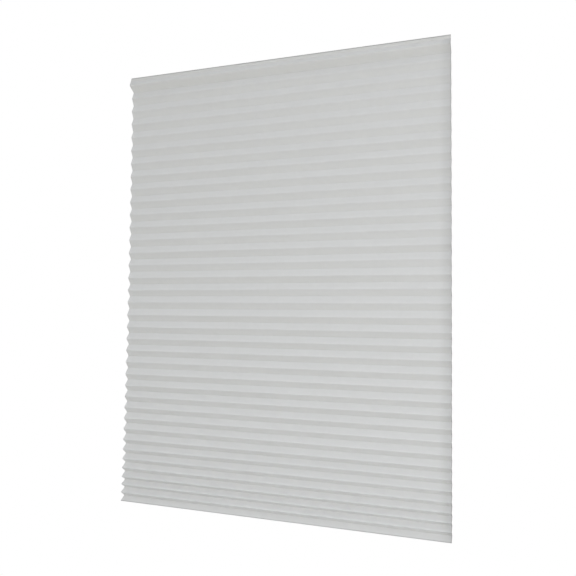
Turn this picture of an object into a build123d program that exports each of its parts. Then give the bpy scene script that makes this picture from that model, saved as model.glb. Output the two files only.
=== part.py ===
from build123d import *
import os
from math import cos, radians, sin, tan

# Self-hanging pleated window blind: one sheet of non-woven cloth, creased into level pleats, and the
# adhesive strip along its top facet that holds it up. Millimetres, +Z up, room side towards -Y.
# The origin is the middle of the strip's sticking face.

# Sheet
sheet_width = 1000.0  # cut width, level
sheet_thickness = 0.3
crease_radius = 0.4  # inside every fold

# Facets, measured along the sheet from fold to fold
header_facet = 28.7  # top cut edge to the first fold; the strip sticks to it
lead_facet = 29.3  # first fold back to the first full pleat
pleat_facet = 23.4  # every facet below those two
pleat_count = 36

# How the pleats hang. An angle is a facet's lean out of the vertical, in degrees.
header_lean = 21.8
lead_lean = 56.9
free_lean = 62.5  # of a pleat with nothing hanging from it
lean_per_pleat = 2.72  # lost for each pleat hanging below, when that pulls straight on the crease
belly_lean = 1.1  # the upper half slopes back by this much, and the lower half forward again

# Adhesive strip, as long as the sheet is wide
strip_width = 12.0
strip_thickness = 0.8
strip_inset = 1.0  # from the top cut edge

facet_count = 2 * pleat_count + 1


def hanging_lean(pleats_below):
    """Lean at which a crease's spring balances the pleats that hang from it."""
    low = 0.0
    high = free_lean
    for _ in range(50):
        lean = (low + high) / 2
        pull = lean_per_pleat * pleats_below * sin(radians(lean))
        if pull > free_lean - lean:
            high = lean
        else:
            low = lean
    return lean


def facet(number):
    """Length and heading of a facet; the heading is degrees from straight down, positive to +Y."""
    if number == 0:
        return header_facet, -header_lean
    if number == 1:
        return lead_facet, lead_lean
    side = 1 if number % 2 else -1
    belly = belly_lean * (1 - 2 * number / (facet_count - 1))
    return pleat_facet, side * hanging_lean((facet_count - number) / 2) + belly


def along(heading):
    """Unit step down the sheet, in (Y, Z)."""
    return Vector(sin(radians(heading)), -cos(radians(heading)))


def out_of(heading):
    """Unit step out of the sheet's room side, in (Y, Z)."""
    return Vector(-cos(radians(heading)), -sin(radians(heading)))


facets = [facet(number) for number in range(facet_count)]
headings = [heading for _, heading in facets]

# The strip's sticking face is the origin, so the top cut edge is set out back from there
header_heading = headings[0]
strip_middle = along(header_heading) * (strip_inset + strip_width / 2)
face_height = out_of(header_heading) * (sheet_thickness / 2 + strip_thickness)
top_edge = Vector(0, 0) - strip_middle - face_height

# Middle line of the sheet, from the top cut edge to the bottom one
middle_line = [top_edge]
for length, heading in facets:
    middle_line.append(middle_line[-1] + along(heading) * length)


def pleated_sheet():
    """The whole blind: one sheet of even thickness, rounded inside and outside every crease."""
    room_side = []
    wall_side = []
    room_radii = []
    wall_radii = []
    for number, point in enumerate(middle_line):
        above = headings[max(number - 1, 0)]
        below = headings[min(number, facet_count - 1)]
        mitre = sheet_thickness / 2 / cos(radians(below - above) / 2)
        step = out_of((above + below) / 2) * mitre
        room_side.append(point + step)
        wall_side.append(point - step)
        cut_edge = number in (0, facet_count)
        front_fold = below > above
        outside = 0 if cut_edge else crease_radius + sheet_thickness
        inside = 0 if cut_edge else crease_radius
        room_radii.append(outside if front_fold else inside)
        wall_radii.append(inside if front_fold else outside)
    with BuildPart() as part:
        with BuildSketch(Plane.YZ):
            with BuildLine():
                FilletPolyline(
                    *room_side,
                    *reversed(wall_side),
                    radius=room_radii + wall_radii[::-1],
                    close=True,
                )
            make_face()
        extrude(amount=sheet_width / 2, both=True)
    return part.part


def adhesive_strip():
    """Double-sided tape, flat on the room side of the header facet."""
    across = along(header_heading) * strip_width
    through = out_of(header_heading) * strip_thickness
    corner = top_edge + along(header_heading) * strip_inset
    corner += out_of(header_heading) * sheet_thickness / 2
    with BuildPart() as part:
        with BuildSketch(Plane.YZ):
            with BuildLine():
                Polyline(
                    corner,
                    corner + across,
                    corner + across + through,
                    corner + through,
                    close=True,
                )
            make_face()
        extrude(amount=sheet_width / 2, both=True)
    return part.part


pieces = {
    "pleated_sheet": pleated_sheet(),
    "adhesive_strip": adhesive_strip(),
}

os.makedirs("parts", exist_ok=True)
for name, solid in pieces.items():
    export_step(solid, f"parts/{name}.step")

# Cut length of the flat sheet: facets, less what each rounded crease cuts off its two sharp corners
neutral_radius = crease_radius + sheet_thickness / 2
flat_length = sum(length for length, _ in facets)
for above, below in zip(headings, headings[1:]):
    turn = radians(abs(below - above))
    flat_length += neutral_radius * (turn - 2 * tan(turn / 2))
drop = middle_line[0].Y - middle_line[-1].Y
print(f"flat sheet {sheet_width:.0f} x {flat_length:.1f} mm, hanging {drop:.1f} mm")
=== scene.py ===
import math
import random

import bpy
from mathutils import Matrix, Vector


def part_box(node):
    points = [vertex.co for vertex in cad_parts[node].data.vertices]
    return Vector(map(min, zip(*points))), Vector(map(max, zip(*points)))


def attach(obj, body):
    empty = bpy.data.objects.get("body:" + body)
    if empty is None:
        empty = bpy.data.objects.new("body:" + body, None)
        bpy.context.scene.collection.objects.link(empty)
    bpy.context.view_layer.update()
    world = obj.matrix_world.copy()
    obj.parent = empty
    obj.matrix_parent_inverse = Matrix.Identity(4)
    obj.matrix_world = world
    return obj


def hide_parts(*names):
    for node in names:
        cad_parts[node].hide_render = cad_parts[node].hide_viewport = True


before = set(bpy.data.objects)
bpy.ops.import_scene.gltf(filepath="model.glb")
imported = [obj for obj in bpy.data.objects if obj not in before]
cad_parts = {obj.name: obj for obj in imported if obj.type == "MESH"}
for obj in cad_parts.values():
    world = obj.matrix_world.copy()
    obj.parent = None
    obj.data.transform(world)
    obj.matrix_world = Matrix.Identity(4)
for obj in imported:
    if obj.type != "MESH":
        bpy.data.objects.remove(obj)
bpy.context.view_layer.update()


# Pleated sheet. One cut of off-white non-woven cloth, about 0.3 mm thick, creased into level pleats
# and hung by its top facet. Its creases spring open, and the cloth below pulls them straighter. It is
# laid out flat here, as it was cut, and then folded along the creases of the CAD sheet.
sheet_thickness = 0.0003
crease_radius = 0.00055  # to the middle of the cloth
fold_gap = 0.004  # levels further apart than this belong to two folds
columns = 44  # of the grid, side to side

cad_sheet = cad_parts["pleated_sheet"]
sheet_low, sheet_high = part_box("pleated_sheet")
sheet_width = sheet_high.x - sheet_low.x


def fold_points():
    """The points (y, z) at the top cut edge, each fold and the bottom cut edge, from the CAD sheet."""
    ends = [v.co for v in cad_sheet.data.vertices if v.co.x > 0]
    ends.sort(key=lambda co: -co.z)
    groups = [[ends[0]]]
    for co in ends[1:]:
        if groups[-1][-1].z - co.z > fold_gap:
            groups.append([])
        groups[-1].append(co)
    return [Vector((sum(c.y for c in g) / len(g), sum(c.z for c in g) / len(g))) for g in groups]


rough = fold_points()


def heading_of(step):
    """The angle of a step from straight down, positive to +Y."""
    return math.atan2(step.x, -step.y)


# A fold's average point lies inside its arc, so it is moved out to where the two facets meet
folds = [rough[0]]
for number in range(1, len(rough) - 1):
    above = (rough[number] - rough[number - 1]).normalized()
    below = (rough[number + 1] - rough[number]).normalized()
    turn = above.angle(below)
    outward = (above - below).normalized()
    shift = crease_radius * (1 / math.cos(turn / 2) - math.sin(turn / 2) / (turn / 2))
    folds.append(rough[number] + outward * shift)
folds.append(rough[-1])

lengths = [(b - a).length for a, b in zip(folds, folds[1:])]
headings = [heading_of(b - a) for a, b in zip(folds, folds[1:])]
facet_count = len(lengths)


# Where each fold really sits. A fold lies up to a millimetre or so above or below where an even hang
# would put it, drifting along the blind, and the last ones ride up, since the bottom facet carries
# nothing. The facets keep their cut length, so a pleat opens or closes as its folds move.
random.seed(7)
fold_wander = 0.0004  # metres, doubled at the bottom
bottom_rise = 0.0045  # of the lowest fold
rise_kept = 0.42  # share of that rise left in the next fold up


def wave():
    """A smooth value along the width, about -1 to 1: a chance level and two slow waves."""
    level = random.gauss(0, 0.7)
    slow = random.gauss(0, 0.5)
    quick = random.gauss(0, 0.35)
    first = random.uniform(0, 6.28)
    second = random.uniform(0, 6.28)
    return lambda x: level + slow * math.sin(2.3 * x + first) + quick * math.sin(5.1 * x + second)


front_folds = facet_count // 2
wander = [wave() for _ in range(front_folds + 1)]


def front_shift(front, x):
    """Metres by which a front fold, counted from 0 at the top, is moved up at this place across."""
    if front == 0:
        return 0.0
    down = front / (front_folds - 1)
    above_bottom = front_folds - 1 - front
    return fold_wander * (1 + down) * wander[front](x) + bottom_rise * rise_kept ** above_bottom


def fold_shift(number, x):
    """The same for any point of the fold line; a back fold moves by half of each neighbour's."""
    if number in (0, facet_count):
        return 0.0
    if number % 2:
        return front_shift(number // 2, x)
    if number == facet_count - 1:
        return front_shift(front_folds - 1, x) / 2
    return (front_shift(number // 2 - 1, x) + front_shift(number // 2, x)) / 2


def hung_corners(x):
    """The points (y, z) where the facets meet at this place across the cloth, top to bottom."""
    heights = [folds[number].y + fold_shift(number, x) for number in range(facet_count + 1)]
    corners = [Vector((folds[0].x, heights[0]))]
    for number, length in enumerate(lengths):
        drop = heights[number] - heights[number + 1]
        reach = math.sqrt(length ** 2 - drop ** 2)
        side = 1 if headings[number] > 0 else -1
        corners.append(Vector((corners[-1].x + side * reach, heights[number + 1])))
    return corners


facet_shares = (1 / 6, 1 / 3, 1 / 2, 2 / 3, 5 / 6)  # rows of points down a facet
crease_shares = (0, 0.25, 0.5, 0.75, 1)  # and round a crease
facet_bend = 0.00022  # metres, the slight S of a facet between its two creases

# Painted shade just under a pleat's front fold, where the valley's shade falls: its tone at each
# facet share, and at the fold itself. Elsewhere, and at the header's fold, the tone is 1.
crease_painted_shade_tones = (0.975, 0.985, 0.995, 1, 1)
fold_painted_shade_tone = 0.995


def hung_path(x):
    """Points (y, z) down the cloth with rounded creases, each with its distance down the flat cloth
    and its tone of painted crease shade."""
    corners = hung_corners(x)
    ways = [(b - a).normalized() for a, b in zip(corners, corners[1:])]
    turns = [0.0] + [a.angle(b) for a, b in zip(ways, ways[1:])] + [0.0]
    points = [(corners[0], 0.0, 1)]
    distance = 0.0
    for number, way in enumerate(ways):
        across = Vector((way.y, -way.x)) * (1 if way.x > 0 else -1)
        begin = corners[number] + way * crease_radius * math.tan(turns[number] / 2)
        end = corners[number + 1] - way * crease_radius * math.tan(turns[number + 1] / 2)
        straight = (end - begin).length
        under_front_fold = number > 1 and number % 2 == 1
        for share, painted_crease_shade in zip(facet_shares, crease_painted_shade_tones):
            bend = across * facet_bend * math.sin(2 * math.pi * share)
            tone = painted_crease_shade if under_front_fold else 1
            points.append((begin.lerp(end, share) + bend, distance + straight * share, tone))
        distance += straight
        turn = turns[number + 1]
        if number == facet_count - 1:
            points.append((end, distance, 1))
            continue
        # The crease: an arc that leaves this facet and meets the next
        inward = (ways[number + 1] - way).normalized()
        centre = corners[number + 1] + inward * crease_radius / math.cos(turn / 2)
        spoke = end - centre
        sense = 1 if way.cross(ways[number + 1]) > 0 else -1
        tone = fold_painted_shade_tone if number > 0 and number % 2 == 0 else 1
        for share in crease_shares:
            turned = sense * turn * share
            cos = math.cos(turned)
            sin = math.sin(turned)
            arm = Vector((spoke.x * cos - spoke.y * sin, spoke.x * sin + spoke.y * cos))
            points.append((centre + arm, distance + crease_radius * turn * share, tone))
        distance += crease_radius * turn
    return points


middle_path = hung_path(0.0)
flat_length = middle_path[-1][1]
rows = len(middle_path)
bpy.ops.object.select_all(action="DESELECT")
bpy.ops.mesh.primitive_grid_add(
    x_subdivisions=columns, y_subdivisions=rows - 1, size=1.0, calc_uvs=True, location=(0, 0, 0)
)
sheet = bpy.context.object
sheet.name = "hung_sheet"
sheet.data.name = "hung_sheet"

# The flat cut is folded: each point of the grid goes to its place along its column's path
column_x = [sheet_low.x + sheet_width * column / columns for column in range(columns + 1)]
paths = [hung_path(x) for x in column_x]
flat_place = {}
# Each point carries its painted crease shade to the material.
crease_painted_shade = sheet.data.attributes.new("crease_painted_shade", "FLOAT", "POINT")
for vertex in sheet.data.vertices:
    column = round((vertex.co.x + 0.5) * columns)
    row = round((0.5 - vertex.co.y) * (rows - 1))
    point, down, tone = paths[column][row]
    flat_place[vertex.index] = (column_x[column], down)
    crease_painted_shade.data[vertex.index].value = tone
    vertex.co = Vector((column_x[column], point.x, point.y))
uv = sheet.data.uv_layers.active
uv.name = "flat_cloth"
for loop in sheet.data.loops:
    uv.data[loop.index].uv = flat_place[loop.vertex_index]
sheet.data.update()


# Fibres: what makes the cloth look non-woven. Cloudy lighter and thinner places, short fibres lying
# every way, and the fine tooth of a bonded web.
fibre_stretch = (0.22, 1.6, 1)  # long along the fibre and narrow across it


def fibre_group():
    """Mottle and Height over the flat cloth, in metres along it."""
    group = bpy.data.node_groups.new("bonded_fibres", "ShaderNodeTree")
    group.interface.new_socket("Place", in_out="INPUT", socket_type="NodeSocketVector")
    group.interface.new_socket("Mottle", in_out="OUTPUT", socket_type="NodeSocketFloat")
    group.interface.new_socket("Height", in_out="OUTPUT", socket_type="NodeSocketFloat")
    nodes, links = group.nodes, group.links
    place = nodes.new("NodeGroupInput")
    result = nodes.new("NodeGroupOutput")

    def noise(scale, detail, roughness, stretch=(1, 1, 1), turn=0.0):
        turned = nodes.new("ShaderNodeMapping")
        turned.inputs["Scale"].default_value = stretch
        turned.inputs["Rotation"].default_value = (0, 0, turn)
        links.new(place.outputs["Place"], turned.inputs["Vector"])
        made = nodes.new("ShaderNodeTexNoise")
        made.inputs["Scale"].default_value = scale
        made.inputs["Detail"].default_value = detail
        made.inputs["Roughness"].default_value = roughness
        links.new(turned.outputs["Vector"], made.inputs["Vector"])
        return made.outputs["Fac"]

    def add(a, b, share):
        node = nodes.new("ShaderNodeMath")
        node.operation = "MULTIPLY_ADD"
        node.inputs[1].default_value = share
        links.new(b, node.inputs[0])
        links.new(a, node.inputs[2])
        return node.outputs[0]

    cloud = noise(scale=70, detail=4, roughness=0.6)
    tooth = noise(scale=900, detail=3, roughness=0.6)
    rising = noise(scale=420, detail=3, roughness=0.65, stretch=fibre_stretch, turn=0.35)
    falling = noise(scale=420, detail=3, roughness=0.65, stretch=fibre_stretch, turn=-0.6)
    mottle = add(add(cloud, rising, 0.4), falling, 0.4)
    height = add(add(tooth, rising, 0.9), falling, 0.9)
    links.new(mottle, result.inputs["Mottle"])
    links.new(height, result.inputs["Height"])
    return group


# Painted shade: the cloth is painted darker along its cut edges, towards its right edge and below its
# front folds, and the header and bottom facets are painted a touch darker than the pleats between them.
def shade_group():
    """Painted shade over the flat cloth, in metres along it: 1 where nothing darkens it."""
    group = bpy.data.node_groups.new("painted_edge_and_crease_shade", "ShaderNodeTree")
    group.interface.new_socket("Place", in_out="INPUT", socket_type="NodeSocketVector")
    group.interface.new_socket("Painted_crease_shade", in_out="INPUT", socket_type="NodeSocketFloat")
    group.interface.new_socket("Shade", in_out="OUTPUT", socket_type="NodeSocketFloat")
    nodes, links = group.nodes, group.links
    given = nodes.new("NodeGroupInput")
    result = nodes.new("NodeGroupOutput")
    split = nodes.new("ShaderNodeSeparateXYZ")
    links.new(given.outputs["Place"], split.inputs["Vector"])
    across, down = split.outputs["X"], split.outputs["Y"]
    side = sheet_width / 2
    header_end = lengths[0]
    bottom_start = flat_length - lengths[-1]
    # Every fade is painted shade: dark lines along the cut edges, a fall towards the right edge, and
    # the darker header and bottom facets.
    # Each fade: the way it runs, the two places it runs between, and the shade at each
    fades = (
        (across, -side, -side + 0.0025, 0.84, 1.0),  # left cut edge
        (across, side - 0.003, side, 1.0, 0.74),  # right cut edge
        (across, side - 0.035, side, 1.0, 0.92),  # a slow fall towards it
        (down, 0.0009, 0.0016, 0.55, 1.0),  # top cut edge
        (down, header_end - 0.001, header_end + 0.001, 0.975, 1.0),  # header facet
        (down, bottom_start - 0.001, bottom_start + 0.001, 1.0, 0.975),  # bottom facet
        (down, flat_length - 0.004, flat_length, 1.0, 0.74),  # bottom cut edge
    )
    shade = given.outputs["Painted_crease_shade"]
    for place, start, stop, first_shade, last_shade in fades:
        fade = nodes.new("ShaderNodeMapRange")
        fade.interpolation_type = "SMOOTHSTEP"
        fade.inputs["From Min"].default_value = start
        fade.inputs["From Max"].default_value = stop
        fade.inputs["To Min"].default_value = first_shade
        fade.inputs["To Max"].default_value = last_shade
        links.new(place, fade.inputs["Value"])
        times = nodes.new("ShaderNodeMath")
        times.operation = "MULTIPLY"
        links.new(shade, times.inputs[0])
        links.new(fade.outputs["Result"], times.inputs[1])
        shade = times.outputs[0]
    links.new(shade, result.inputs["Shade"])
    return group


fibres = fibre_group()
shades = shade_group()
mottle_range = (0.62, 1.18)  # the fibres' Mottle at the dark colour and at the light one
tooth_depth = 0.00006
tooth_strength = 0.12


def cloth_material(name, dark, light, through_share):
    """Matte bonded cloth: light scatters off its front, and a share of it comes through."""
    material = bpy.data.materials.new(name)
    material.use_nodes = True
    nodes, links = material.node_tree.nodes, material.node_tree.links
    nodes.clear()
    output = nodes.new("ShaderNodeOutputMaterial")
    both = nodes.new("ShaderNodeMixShader")
    front = nodes.new("ShaderNodeBsdfPrincipled")
    through = nodes.new("ShaderNodeBsdfTranslucent")
    where = nodes.new("ShaderNodeUVMap")
    where.uv_map = "flat_cloth"
    web = nodes.new("ShaderNodeGroup")
    web.node_tree = fibres
    mottle = nodes.new("ShaderNodeMapRange")
    mottle.inputs["From Min"].default_value = mottle_range[0]
    mottle.inputs["From Max"].default_value = mottle_range[1]
    colour = nodes.new("ShaderNodeMix")
    colour.data_type = "RGBA"
    colour.inputs[6].default_value = (*dark, 1)
    colour.inputs[7].default_value = (*light, 1)
    # Painted shade: the crease shade carried by the points and the darker edges and facets of the shade
    # group darken both the front and the light coming through.
    painted_crease_shade = nodes.new("ShaderNodeAttribute")
    painted_crease_shade.attribute_name = "crease_painted_shade"
    shaded = nodes.new("ShaderNodeGroup")
    shaded.node_tree = shades
    dim = nodes.new("ShaderNodeMix")
    dim.data_type = "RGBA"
    dim.blend_type = "MULTIPLY"
    dim.inputs[0].default_value = 1.0
    tooth = nodes.new("ShaderNodeBump")
    tooth.inputs["Strength"].default_value = tooth_strength
    tooth.inputs["Distance"].default_value = tooth_depth
    links.new(where.outputs["UV"], web.inputs["Place"])
    links.new(web.outputs["Mottle"], mottle.inputs["Value"])
    links.new(mottle.outputs["Result"], colour.inputs[0])
    links.new(where.outputs["UV"], shaded.inputs["Place"])
    links.new(painted_crease_shade.outputs["Fac"], shaded.inputs["Painted_crease_shade"])
    links.new(colour.outputs[2], dim.inputs[6])
    links.new(shaded.outputs["Shade"], dim.inputs[7])
    links.new(dim.outputs[2], front.inputs["Base Color"])
    links.new(dim.outputs[2], through.inputs["Color"])
    links.new(web.outputs["Height"], tooth.inputs["Height"])
    links.new(tooth.outputs["Normal"], front.inputs["Normal"])
    links.new(tooth.outputs["Normal"], through.inputs["Normal"])
    front.inputs["Roughness"].default_value = 0.92
    front.inputs["Specular IOR Level"].default_value = 0.12
    front.inputs["Sheen Weight"].default_value = 0.05
    front.inputs["Sheen Roughness"].default_value = 0.6
    both.inputs[0].default_value = through_share
    links.new(front.outputs["BSDF"], both.inputs[1])
    links.new(through.outputs["BSDF"], both.inputs[2])
    links.new(both.outputs["Shader"], output.inputs["Surface"])
    return material


cloth = cloth_material("non_woven_cloth", (0.9, 0.9, 0.9), (0.92, 0.92, 0.92), 0.7)
# The cut rim is painted darker, as the shade along the cut edge.
cut_edge = cloth_material("cut_edge", (0.66, 0.66, 0.65), (0.72, 0.72, 0.71), 0.3)
sheet.data.materials.append(cloth)
sheet.data.materials.append(cut_edge)

thick = sheet.modifiers.new("cloth thickness", "SOLIDIFY")
thick.thickness = sheet_thickness
thick.offset = 0
thick.material_offset_rim = 1  # the rim is the cut edge
bpy.ops.object.modifier_apply(modifier=thick.name)
bpy.ops.object.shade_smooth_by_angle(angle=math.radians(40))

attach(sheet, "root")
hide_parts("pleated_sheet")


# Adhesive strip. Double-sided tape, pressed along the room side of the top facet under its cut edge:
# a thin translucent film, faintly glossy with bare adhesive, with painted shade along its upper edge.
# It is the
# CAD strip with that finish.
tape_through = 0.64  # share of the light that comes through
tape_dark = (0.85, 0.845, 0.835, 1)
tape_light = (0.89, 0.885, 0.875, 1)
# A band of painted shade along the film's upper edge: where it fades in and out, and its tone.
painted_shade_from = 0.0022  # metres above the middle of the sticking face
painted_shade_to = 0.0034
painted_shade_tone = 0.72

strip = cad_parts["adhesive_strip"]
tape = bpy.data.materials.new("bare_adhesive")
tape.use_nodes = True
nodes, links = tape.node_tree.nodes, tape.node_tree.links
film = nodes["Principled BSDF"]
film.inputs["Roughness"].default_value = 0.5
film.inputs["Specular IOR Level"].default_value = 0.3
through = nodes.new("ShaderNodeBsdfTranslucent")
both = nodes.new("ShaderNodeMixShader")
both.inputs[0].default_value = tape_through
where = nodes.new("ShaderNodeTexCoord")
ripple = nodes.new("ShaderNodeTexNoise")
ripple.inputs["Scale"].default_value = 160
ripple.inputs["Detail"].default_value = 4
tint = nodes.new("ShaderNodeMix")
tint.data_type = "RGBA"
tint.inputs[6].default_value = tape_dark
tint.inputs[7].default_value = tape_light
height = nodes.new("ShaderNodeSeparateXYZ")
# The film is painted darker towards its upper edge, as shade.
upper_edge_painted_shade = nodes.new("ShaderNodeMapRange")
upper_edge_painted_shade.interpolation_type = "SMOOTHSTEP"
upper_edge_painted_shade.inputs["From Min"].default_value = painted_shade_from
upper_edge_painted_shade.inputs["From Max"].default_value = painted_shade_to
upper_edge_painted_shade.inputs["To Min"].default_value = 1.0
upper_edge_painted_shade.inputs["To Max"].default_value = painted_shade_tone
dim = nodes.new("ShaderNodeMix")
dim.data_type = "RGBA"
dim.blend_type = "MULTIPLY"
dim.inputs[0].default_value = 1.0
orange_peel = nodes.new("ShaderNodeBump")
orange_peel.inputs["Strength"].default_value = 0.15
orange_peel.inputs["Distance"].default_value = 0.0001
links.new(where.outputs["Object"], ripple.inputs["Vector"])
links.new(where.outputs["Object"], height.inputs["Vector"])
links.new(ripple.outputs["Fac"], tint.inputs[0])
links.new(height.outputs["Z"], upper_edge_painted_shade.inputs["Value"])
links.new(tint.outputs[2], dim.inputs[6])
links.new(upper_edge_painted_shade.outputs["Result"], dim.inputs[7])
links.new(dim.outputs[2], film.inputs["Base Color"])
links.new(dim.outputs[2], through.inputs["Color"])
links.new(ripple.outputs["Fac"], orange_peel.inputs["Height"])
links.new(orange_peel.outputs["Normal"], film.inputs["Normal"])
links.new(orange_peel.outputs["Normal"], through.inputs["Normal"])
links.new(film.outputs["BSDF"], both.inputs[1])
links.new(through.outputs["BSDF"], both.inputs[2])
links.new(both.outputs["Shader"], nodes["Material Output"].inputs["Surface"])
strip.data.materials.clear()
strip.data.materials.append(tape)


# Floor. A plain, very pale sweep below the blind, so far down that no shadow shows on it.
floor_drop = 0.7
floor_size = 12.0
floor_colour = (0.925, 0.93, 0.93, 1)
bpy.ops.object.select_all(action="DESELECT")
bpy.ops.mesh.primitive_plane_add(size=floor_size, location=(0, 0, sheet_low.z - floor_drop))
floor = bpy.context.object
floor.name = "studio_floor"
bpy.ops.object.transform_apply(location=True, rotation=True, scale=True)
pale = bpy.data.materials.new("pale_floor")
pale.use_nodes = True
nodes, links = pale.node_tree.nodes, pale.node_tree.links
nodes["Principled BSDF"].inputs["Base Color"].default_value = floor_colour
nodes["Principled BSDF"].inputs["Roughness"].default_value = 0.9
# It is overexposed as the room behind it is, so no line shows where they meet
bright = nodes.new("ShaderNodeEmission")
bright.inputs["Strength"].default_value = 1.0
seen = nodes.new("ShaderNodeLightPath")
expose = nodes.new("ShaderNodeMixShader")
links.new(seen.outputs["Is Camera Ray"], expose.inputs[0])
links.new(nodes["Principled BSDF"].outputs["BSDF"], expose.inputs[1])
links.new(bright.outputs["Emission"], expose.inputs[2])
links.new(expose.outputs["Shader"], nodes["Material Output"].inputs["Surface"])
floor.data.materials.append(pale)


# Studio light. A white room, bright in front of the blind and faintly cool, dimmer and faintly warm
# overhead behind it, and one wide soft lamp to the front right, level with its middle.
front_strength = 0.855
front_tint = (0.975, 1, 1.025, 1)
overhead_strength = 0.542
overhead_tint = (1.034, 1, 0.866, 1)

world = bpy.data.worlds.new("white_room")
bpy.context.scene.world = world
world.use_nodes = True
nodes, links = world.node_tree.nodes, world.node_tree.links
seen = nodes["Background"]
seen.inputs["Color"].default_value = (1, 1, 1, 1)
seen.inputs["Strength"].default_value = 1.0
lighting = nodes.new("ShaderNodeBackground")
toward = nodes.new("ShaderNodeTexCoord")
parts = nodes.new("ShaderNodeSeparateXYZ")
in_front = nodes.new("ShaderNodeMapRange")
in_front.inputs["From Min"].default_value = 0.15
in_front.inputs["From Max"].default_value = -0.15
behind = nodes.new("ShaderNodeMapRange")
behind.inputs["From Min"].default_value = 0.4
behind.inputs["From Max"].default_value = 0.6
behind.inputs["To Max"].default_value = overhead_strength
strength = nodes.new("ShaderNodeMix")
strength.inputs[3].default_value = front_strength
tint = nodes.new("ShaderNodeMix")
tint.data_type = "RGBA"
tint.inputs[6].default_value = overhead_tint
tint.inputs[7].default_value = front_tint
links.new(toward.outputs["Generated"], parts.inputs["Vector"])
links.new(parts.outputs["Y"], in_front.inputs["Value"])
links.new(parts.outputs["Z"], behind.inputs["Value"])
links.new(in_front.outputs["Result"], strength.inputs[0])
links.new(behind.outputs["Result"], strength.inputs[2])
links.new(in_front.outputs["Result"], tint.inputs[0])
links.new(strength.outputs[0], lighting.inputs["Strength"])
links.new(tint.outputs[2], lighting.inputs["Color"])
ray = nodes.new("ShaderNodeLightPath")
choose = nodes.new("ShaderNodeMixShader")
links.new(ray.outputs["Is Camera Ray"], choose.inputs[0])
links.new(lighting.outputs["Background"], choose.inputs[1])
links.new(seen.outputs["Background"], choose.inputs[2])
links.new(choose.outputs["Shader"], nodes["World Output"].inputs["Surface"])

lamp_distance = 3.2
lamp_turn = math.radians(30)  # to the right of straight ahead
lamp = bpy.data.lights.new("soft_lamp", "AREA")
lamp.size = 2.0
lamp.energy = 48.5
lamp.color = (0.995, 1, 1.005)
lamp_way = Vector((math.sin(lamp_turn), -math.cos(lamp_turn), 0))
holder = bpy.data.objects.new("soft_lamp", lamp)
holder.location = (sheet_low + sheet_high) / 2 + lamp_way * lamp_distance
holder.rotation_euler = lamp_way.to_track_quat("Z", "Y").to_euler()
bpy.context.scene.collection.objects.link(holder)


# Camera. Level with a place just below the middle of the blind, a little beyond its right edge,
# turned to the left and tilted slightly up.
camera_place = (0.622, -1.6478, -0.7677)
camera_turn = 19.28  # degrees, to the left
camera_tilt = 3.02  # upwards
camera_roll = 0.72
camera_data = bpy.data.cameras.new("camera")
camera_data.sensor_width = 36.0
camera_data.lens = 38.0
camera = bpy.data.objects.new("camera", camera_data)
turn = Matrix.Rotation(math.radians(camera_turn), 4, "Z")
tilt = Matrix.Rotation(math.radians(90 + camera_tilt), 4, "X")
roll = Matrix.Rotation(math.radians(camera_roll), 4, "Z")
camera.matrix_world = Matrix.Translation(camera_place) @ turn @ tilt @ roll
bpy.context.scene.collection.objects.link(camera)
bpy.context.scene.camera = camera
bpy.context.scene.view_settings.view_transform = "Standard"
